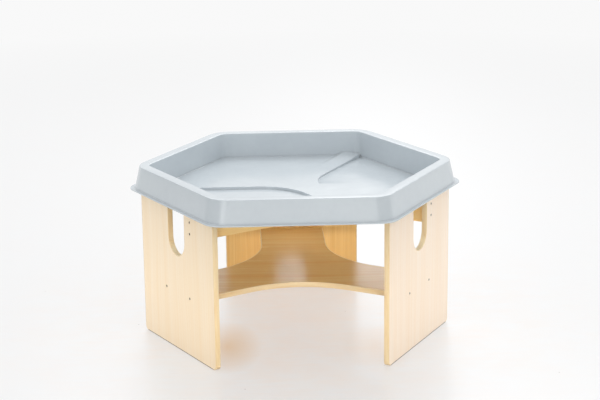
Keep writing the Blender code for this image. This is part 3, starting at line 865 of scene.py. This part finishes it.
def tray_stations(apothem, radius):
    """Every ring's stations in order: even ones, and close ones where the floor's lines meet the wall."""
    stations = set()
    for vertex in range(0, 360, 60):
        for step in range(1, CORNER_STEPS):
            stations.add((vertex - 30 + 60 * step / CORNER_STEPS, 0.0))
        for step in range(SIDE_STEPS + 1):
            stations.add((vertex + 30, -1.0 + 2.0 * step / SIDE_STEPS))
    for offset in RAMP_LINES + SOFT_LINES:
        stations.add(meeting(RAMP_VERTEX, RAMP_OFFSET + offset, apothem, radius))
    for inset in POOL_LINES:
        stations.add(meeting(POOL_LEFT_VERTEX, POOL_OFFSET - inset, apothem, radius))
        stations.add(meeting(POOL_RIGHT_VERTEX, POOL_OFFSET + inset, apothem, radius))
    kept = []
    last_spot = None
    for normal, share in sorted(stations):
        spot = ring_point(apothem, radius, normal, share)
        if last_spot is not None and (spot - last_spot).length < STATION_SPACING:
            continue
        kept.append((normal, share))
        last_spot = spot
    return kept


def row_beside(vertex, offset, start, end, spacing):
    """A row of points along a corner's radial, at an offset to its clockwise side."""
    return [beside(vertex, along, offset) for along in spread(start, end, spacing)]


def ramp_rows():
    """Points along the foot of the ramp's steep side, its bend and its tail."""
    points = []
    tail_end = BEND_END.y - RAMP_TAIL
    tail_start = BEND_END.y - FINE_SPACING
    for offset in RAMP_LINES:
        reach = ramp_reach(RAMP_OFFSET + offset) - ROW_CLEARANCE
        points += row_beside(RAMP_VERTEX, RAMP_OFFSET + offset, RAMP_BEND_START, reach, FINE_SPACING)
        points += arc(BEND_CENTRE, RAMP_BEND_RADIUS - offset, 150, 180, RAMP_BEND_STEPS)[1:]
        points += [Vector((BEND_END.x + offset, y)) for y in spread(tail_end, tail_start, FINE_SPACING)]
    return points


def soft_rows():
    """Points along the ramp's soft side."""
    points = []
    for offset in SOFT_LINES:
        reach = ramp_reach(RAMP_OFFSET + offset) - ROW_CLEARANCE
        points += row_beside(RAMP_VERTEX, RAMP_OFFSET + offset, RAMP_START, reach, LINE_SPACING)
    return points


def pool_rows():
    """Points along the pool's edge: its bend, its left stretch and its right stretch."""
    points = []
    wall = FLOOR_REACH / COS30 - POOL_ROW_CLEARANCE
    left_end = POOL_CENTRE.x - FINE_SPACING
    right_start = POOL_SETBACK + POOL_MEETING.dot(direction(POOL_RIGHT_VERTEX)) + FINE_SPACING
    for inset in POOL_LINES:
        points += arc(POOL_CENTRE, POOL_BEND_RADIUS - inset, 90, 30, POOL_BEND_STEPS)
        points += [Vector((x, POOL_OFFSET - inset)) for x in spread(-wall, left_end, LINE_SPACING)]
        points += row_beside(POOL_RIGHT_VERTEX, POOL_OFFSET + inset, right_start, wall, LINE_SPACING)
    return points


def near_crease(point):
    beyond, share = beyond_ramp_edge(point)
    if share > 0 and -GRID_CLEARANCE < beyond < RAMP_STEP_RUN + GRID_CLEARANCE:
        return True
    return -GRID_CLEARANCE < into_pool(point) < POOL_STEP_RUN + GRID_CLEARANCE


def inside_ring(point, apothem, radius):
    """Whether a point is inside a rounded hexagon."""
    for side in range(30, 390, 60):
        if point.dot(direction(side)) > apothem:
            return False
    for vertex in range(0, 360, 60):
        spoke = point - corner_centre(vertex, apothem, radius)
        if abs(spoke.angle(direction(vertex), 0.0)) < math.radians(30) and spoke.length > radius:
            return False
    return True


def floor_points():
    """Points in the floor: rows along its creased lines, and an even grid between them."""
    points = []
    for point in ramp_rows() + soft_rows() + pool_rows():
        if inside_ring(point, FLOOR_REACH - BORDER_CLEARANCE, FLOOR_CORNER_RADIUS - BORDER_CLEARANCE):
            points.append(point)
    apothem = FLOOR_REACH - GRID_CLEARANCE
    radius = FLOOR_CORNER_RADIUS - GRID_CLEARANCE
    rows = int(FLOOR_REACH / GRID / math.sin(math.radians(60))) + 1
    for row in range(-rows, rows + 1):
        shift = GRID / 2 if row % 2 else 0.0
        for column in range(-2 * rows, 2 * rows + 1):
            point = Vector((column * GRID + shift, row * GRID * math.sin(math.radians(60))))
            if inside_ring(point, apothem, radius) and not near_crease(point):
                points.append(point)
    return points


def ring_vertices(rings, stations, reliefs, lowest):
    """Every ring's points above the floor's level, with a share of the floor's relief."""
    points = []
    for apothem, height, radius, share in rings:
        for station, lift in zip(stations, reliefs):
            spot = ring_point(apothem, radius, *station)
            points.append(Vector((spot.x, spot.y, max(height - FLOOR_LEVEL + share * lift, lowest))))
    return points


def wall_faces(upper_count, ring_count, size):
    """Faces from each ring to the next, but none between the two skins' floors."""
    faces = []
    for ring in range(ring_count):
        if ring == upper_count - 1:
            continue
        a = ring * size
        b = ((ring + 1) % ring_count) * size
        for i in range(size):
            j = (i + 1) % size
            faces.append([a + i, a + j, b + j, b + i])
    return faces


def tray_mesh():
    """The tray, with its own origin at the level of its floor."""
    upper, lower = tray_profile()
    stations = tray_stations(FLOOR_REACH, FLOOR_CORNER_RADIUS)
    size = len(stations)
    border = [ring_point(FLOOR_REACH, FLOOR_CORNER_RADIUS, *station) for station in stations]
    reliefs = [relief(spot) for spot in border]
    points = ring_vertices(upper, stations, reliefs, NO_LIMIT)
    points += ring_vertices(lower, stations, reliefs, UNDERSIDE_LOW)
    faces = wall_faces(len(upper), len(upper) + len(lower), size)

    # The floor's triangles, once for each skin
    edges = [(i, (i + 1) % size) for i in range(size)]
    inside_only = 1
    spots, _, triangles, origins, _, _ = delaunay_2d_cdt(
        border + floor_points(), edges, [list(range(size))], inside_only, MERGE_DISTANCE)
    heights = [relief(spot) for spot in spots]
    for ring, drop, lowest in ((len(upper) - 1, 0.0, NO_LIMIT), (len(upper), SHEET, UNDERSIDE_LOW)):
        index = []
        for spot, height, origin in zip(spots, heights, origins):
            on_ring = [o for o in origin if o < size]
            if on_ring:
                index.append(ring * size + on_ring[0])
            else:
                index.append(len(points))
                points.append(Vector((spot.x, spot.y, max(height - drop, lowest))))
        for triangle in triangles:
            faces.append([index[i] for i in triangle])
    return closed_mesh("moulded_tray", points, faces, smooth_angle=48)


# Colours of the boards and strips, pale and deep; the panels' inner faces get warmer, deeper copies, as
# painted shade.

# Painted light: each panel's face is tinted a little differently by side, the right one cooler and paler
FACES = {
    "left": (srgb(245, 231, 209), srgb(240, 218, 184)),
    "right": (srgb(245, 233, 219), srgb(240, 219, 194)),
    "back": (srgb(245, 232, 213), srgb(240, 219, 189)),
}
INNER_SHADE = (srgb(252, 215, 143), srgb(231, 182, 104))
SHELF = (srgb(255, 228, 165), srgb(243, 191, 127))
STRIP = (srgb(234, 215, 177), srgb(226, 197, 148))
RAIL = (srgb(255, 228, 164), srgb(252, 209, 136))
DOWEL = (srgb(222, 188, 140), srgb(186, 146, 98))
SHELF_GLOSS = 0.18
SHELF_SEED = 8.0
PANEL_SEEDS = 3.1
RAIL_SEEDS = 1.7


# The pieces

def dress(node, material):
    """Give a CAD node that keeps its own shape its material."""
    for material_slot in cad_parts[node].material_slots:
        material_slot.material = material


dowel_wood = plain_wood("dowel_wood", *DOWEL)
steel = dark_steel("dark_screw_steel")
screw = screw_mesh()
side_strips = {"left": side_strip(-1), "right": side_strip(1)}
slot_lining = slot_strip()
rail_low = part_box("rail_left")[0].z


def add_screw(name, turn, x, z):
    spot = (x, -PANEL_REACH, z)
    add_piece("fine_" + name, screw.copy(), steel, "stand", name, turn, spot)


for number, (side, angle) in enumerate(SIDES.items()):
    turn = angle - MODEL_SIDE
    face = faced_board(f"panel_face_{side}", *FACES[side], turn, seed=PANEL_SEEDS * number, inner=INNER_SHADE)
    rail_face = faced_board(f"rail_face_{side}", *RAIL, turn, "Y", seed=RAIL_SEEDS + number)
    strip = strip_material(f"panel_strip_{side}", *STRIP, turn)
    dress(f"leg_panel_{side}", face)
    dress(f"rail_{side}", rail_face)
    for height in ("lower", "upper"):
        dress(f"rail_dowel_{side}_{height}", dowel_wood)
    for hand, mesh in side_strips.items():
        name = f"leg_{side}_edging_{hand}"
        add_piece("strip_" + name, mesh.copy(), strip, "stand", name, turn)
    name = f"slot_edging_{side}"
    add_piece(f"strip_slot_{side}", slot_lining.copy(), strip, "stand", name, turn)
    for height, above in RAIL_SCREWS.items():
        add_screw(f"rail_screw_{side}_{height}", turn, RAIL_OFFSET, rail_low + above)
    for hand, x in SHELF_SCREWS.items():
        add_screw(f"shelf_screw_{side}_{hand}", turn, x, SHELF_TOP - BOARD / 2)

dress("shelf", faced_board("shelf_face", *SHELF, along="X", seed=SHELF_SEED, gloss=SHELF_GLOSS))
shelf_band = strip_material("shelf_strip", *STRIP, through="Z")
for bay, angle in BAYS.items():
    name = f"shelf_edging_{bay}"
    add_piece(f"strip_shelf_{bay}", shelf_strip(angle), shelf_band, "stand", name)

plastic = grey_plastic("grey_plastic")
floor_middle = (0, 0, FLOOR_LEVEL)
add_piece("moulded_tray", tray_mesh(), plastic, "tray", "tray", location=floor_middle)


# Studio floor: pale, lightly worn, with painted shade near the table and beside the front feet, and fading
# into the white surround further out

FLOOR_SIZE = 40.0
FLOOR_DROP = 0.0003
FLOOR_PLAIN = srgb(239, 238, 236)
FLOOR_WORN_SHADE = srgb(230, 219, 211)
FLOOR_SPECK = srgb(120, 105, 96)
FLOOR_ROUGHNESS = 0.7
GLOW_PLAIN = (0.89, 0.90, 0.915, 1.0)
GLOW_WORN_SHADE = (0.935, 0.895, 0.87, 1.0)
SATIN_ROUGHNESS = 0.32
SATIN_IOR = 1.45
FADE_NEAR = 1.6
FADE_FAR = 5.0
SURROUND = 0.945
NEAR_GLOW = 0.76

# Cloudy and scuffed patches, stronger near the table: partly wear and partly painted warm shade under it
FLOOR_CLOUDS = (7.0, 5.0, 0.6)
FLOOR_SCUFFS = ((9, 60, 1), 4.0, 0.65)
FLOOR_CLOUD_SHARE = 0.6
FLOOR_SCUFF_SHARE = 0.4
FLOOR_PATCH_RANGE = (0.62, 0.36)
PATCHES_NEAR = 0.35
PATCHES_FAR = 1.0
PATCHES_FAR_SHARE = 0.12

# A few small dark specks, each round its cell's middle
SPECK_CELLS = 13.0
SPECK_EDGE = (0.022, 0.032)
SPECK_CHOSEN = (0.80, 0.82)
SPECK_STRENGTH = 0.5

# Painted warm shadow beside the two front feet, as (x, y, strength)
FEET_SHADE = [(-0.205, -0.185, 1.0), (0.215, -0.21, 0.45)]
SHADE_WIDTH = 0.10
SHADE_LENGTH = 0.21
SHADE_COLOUR = srgb(226, 196, 160)
SHADE_GLOW = (0.80, 0.60, 0.42, 1.0)


def floor_object():
    ground = bpy.data.meshes.new("studio_floor")
    half = FLOOR_SIZE / 2
    corners = [(-half, -half, 0), (half, -half, 0), (half, half, 0), (-half, half, 0)]
    ground.from_pydata(corners, [], [(0, 1, 2, 3)])
    floor = bpy.data.objects.new("studio_floor", ground)
    floor.location.z = -FLOOR_DROP
    scene.collection.objects.link(floor)
    return floor


def floor_marks(tree, place, distance):
    """The cloudy pattern, and the shares of patches, partly wear and partly painted shade, and of specks."""
    clouds = noise(tree, place, *FLOOR_CLOUDS)
    scuffs = streaks(tree, place, *FLOOR_SCUFFS)
    tone = plus(tree, times(tree, clouds, FLOOR_CLOUD_SHARE), times(tree, scuffs, FLOOR_SCUFF_SHARE))
    nearness = remap(tree, distance, PATCHES_NEAR, PATCHES_FAR, 1.0, PATCHES_FAR_SHARE)
    wear_and_shade = times(tree, remap(tree, tone, *FLOOR_PATCH_RANGE), nearness)
    from_middle, own = cells(tree, place, SPECK_CELLS)
    dot = remap(tree, from_middle, *SPECK_EDGE, 1.0, 0.0)
    speck = times(tree, times(tree, dot, remap(tree, own, *SPECK_CHOSEN)), SPECK_STRENGTH)
    return clouds, wear_and_shade, speck


def shade_at(tree, place, x, y, strength):
    """The share of a soft oval patch of painted shadow round a place on the floor."""
    offset = moved(tree, place, (-x, -y, 0))
    reach = length(tree, stretched(tree, offset, (1 / SHADE_WIDTH, 1 / SHADE_LENGTH, 0)))
    return remap(tree, reach, 0.0, 1.0, strength, 0.0)


def studio_floor():
    floor = floor_object()
    values = {"Roughness": FLOOR_ROUGHNESS, "Specular_IOR_Level": 0.0}
    material, tree, shader, place = new_material("pale_floor", **values)
    distance = length(tree, place)
    far = remap(tree, distance, FADE_NEAR, FADE_FAR)
    clouds, wear_and_shade, speck = floor_marks(tree, place, distance)
    # Patches of wear and painted shade, then specks
    colour = mixed_colour(tree, wear_and_shade, FLOOR_PLAIN, FLOOR_WORN_SHADE)
    colour = mixed_colour(tree, speck, colour, FLOOR_SPECK)
    tint = mixed_colour(tree, wear_and_shade, GLOW_PLAIN, GLOW_WORN_SHADE)
    # Painted warm shadow beside the front feet, in the colour and in what the camera sees
    for x, y, strength in FEET_SHADE:
        shade = shade_at(tree, place, x, y, strength)
        colour = mixed_colour(tree, shade, colour, SHADE_COLOUR)
        tint = mixed_colour(tree, shade, tint, SHADE_GLOW)
    tree.links.new(colour, shader.inputs["Base Color"])
    tree.links.new(bumped(tree, clouds, strength=0.05, distance=0.002), shader.inputs["Normal"])

    # What the camera and reflections see is brightened, and fades into the surround further out
    path = tree.nodes.new("ShaderNodeLightPath").outputs
    seen = maths(tree, "MAXIMUM", path["Is Camera Ray"], path["Is Glossy Ray"])
    seen = maths(tree, "MAXIMUM", seen, path["Is Transmission Ray"])
    tint = mixed_colour(tree, far, mixed_colour(tree, speck, tint, FLOOR_SPECK), WHITE)
    glow = add_node(tree, "ShaderNodeEmission", {"Color": tint, "Strength": SURROUND}).outputs[0]
    share = times(tree, seen, remap(tree, distance, FADE_NEAR, FADE_FAR, NEAR_GLOW, 1.0))
    lit = mixed_shader(tree, share, shader.outputs[0], glow)

    # A satin surface that mirrors the legs near their feet
    satin = add_node(tree, "ShaderNodeBsdfGlossy", {"Color": WHITE, "Roughness": SATIN_ROUGHNESS}).outputs[0]
    fresnel = add_node(tree, "ShaderNodeFresnel", {"IOR": SATIN_IOR}).outputs[0]
    sheen = times(tree, fresnel, maths(tree, "SUBTRACT", 1.0, far))
    surface = mixed_shader(tree, sheen, lit, satin)
    tree.links.new(surface, tree.nodes["Material Output"].inputs["Surface"])
    floor.data.materials.append(material)


# Surround: a white studio all round. Reflections also show brighter and darker stretches of it.

STUDIO_LEVEL = 0.93

# Stretches between two bearings, 0 at the front and more to the right: softness, added level, lowest height
REFLECTED = [
    (-14, 20, 2, 0.15, -1.0),
    (-36, -18, 3, 1.1, -1.0),
    (-125, -44, 4, -0.8, -1.0),
    (24, 90, 3, -0.93, -1.0),
    (112, 150, 4, -0.3, -1.0),
    (172.5, 177.7, 0.5, 1.7, 0.307),
]
LOWEST_SOFTNESS = 0.01
REFLECTED_FULL = 0.45
REFLECTED_END = 0.65


def window(tree, value, low, high, soft):
    """1 between two values and 0 beyond them, with soft edges."""
    rise = remap(tree, value, low - soft, low + soft)
    fall = remap(tree, value, high - soft, high + soft, 1.0, 0.0)
    return times(tree, rise, fall)


def surround():
    world = bpy.data.worlds.new("surround")
    world.use_nodes = True
    scene.world = world
    tree = world.node_tree
    x, y, z = axes(tree, tree.nodes.new("ShaderNodeTexCoord").outputs["Generated"])
    bearing = times(tree, maths(tree, "ARCTAN2", x, times(tree, y, -1.0)), math.degrees(1))
    mirrored = STUDIO_LEVEL
    for low, high, soft, level, lowest in REFLECTED:
        part = times(tree, window(tree, bearing, low, high, soft), level)
        part = times(tree, part, remap(tree, z, REFLECTED_FULL, REFLECTED_END, 1.0, 0.0))
        part = times(tree, part, remap(tree, z, lowest - LOWEST_SOFTNESS, lowest + LOWEST_SOFTNESS))
        mirrored = plus(tree, mirrored, part)
    path = tree.nodes.new("ShaderNodeLightPath").outputs
    unseen = mixed_value(tree, path["Is Glossy Ray"], STUDIO_LEVEL, mirrored)
    strength = mixed_value(tree, path["Is Camera Ray"], unseen, SURROUND)
    background = tree.nodes["Background"]
    background.inputs["Color"].default_value = WHITE
    tree.links.new(strength, background.inputs["Strength"])


# Lamps and the camera

# The camera that the photograph's edges were fitted to
CAMERA_PLACE = (-0.17187, -4.57054, 1.65825)
CAMERA_HEADING_RADIANS = -0.0404182
CAMERA_DOWNWARD_RADIANS = 0.273887
CAMERA_ROLL_RADIANS = -0.0113940
CAMERA_LENS = 99.1476
CAMERA_SENSOR = 36.0
CAMERA_REACH = 100.0


def soft_lamp(name, location, target, size, power, colour=WHITE[:3], beam=180):
    light = bpy.data.lights.new(name, "AREA")
    light.shape = "RECTANGLE"
    light.size, light.size_y = size
    light.energy = power
    light.color = colour
    light.spread = math.radians(beam)
    lamp = bpy.data.objects.new(name, light)
    lamp.visible_camera = False
    lamp.location = location
    aim = Vector(target) - Vector(location)
    lamp.rotation_euler = aim.to_track_quat("-Z", "Y").to_euler()
    scene.collection.objects.link(lamp)


def photo_camera():
    data = bpy.data.cameras.new("photo_camera")
    data.sensor_width = CAMERA_SENSOR
    data.lens = CAMERA_LENS
    data.clip_end = CAMERA_REACH
    camera = bpy.data.objects.new("photo_camera", data)
    scene.collection.objects.link(camera)
    heading = Matrix.Rotation(CAMERA_HEADING_RADIANS, 4, "Z")
    tilt = Matrix.Rotation(math.pi / 2 - CAMERA_DOWNWARD_RADIANS, 4, "X")
    roll = Matrix.Rotation(CAMERA_ROLL_RADIANS, 4, "Z")
    camera.matrix_world = Matrix.Translation(CAMERA_PLACE) @ heading @ tilt @ roll
    scene.camera = camera


studio_floor()
surround()
soft_lamp("high_back", location=(0.3, 2.6, 3.0), target=(0.0, 0.0, 0.4), size=(3.0, 2.0), power=61.0)
soft_lamp("high_right", location=(2.0, -3.5, 3.0), target=(0.0, 0.0, 0.35), size=(2.0, 2.0), power=12.0)
soft_lamp("low_front", location=(-0.1, -2.5, 0.12), target=(0.0, 0.0, 0.14), size=(1.7, 0.22), power=0.8,
          colour=(1.0, 0.91, 0.78), beam=18)
photo_camera()
scene.view_settings.view_transform = "Standard"
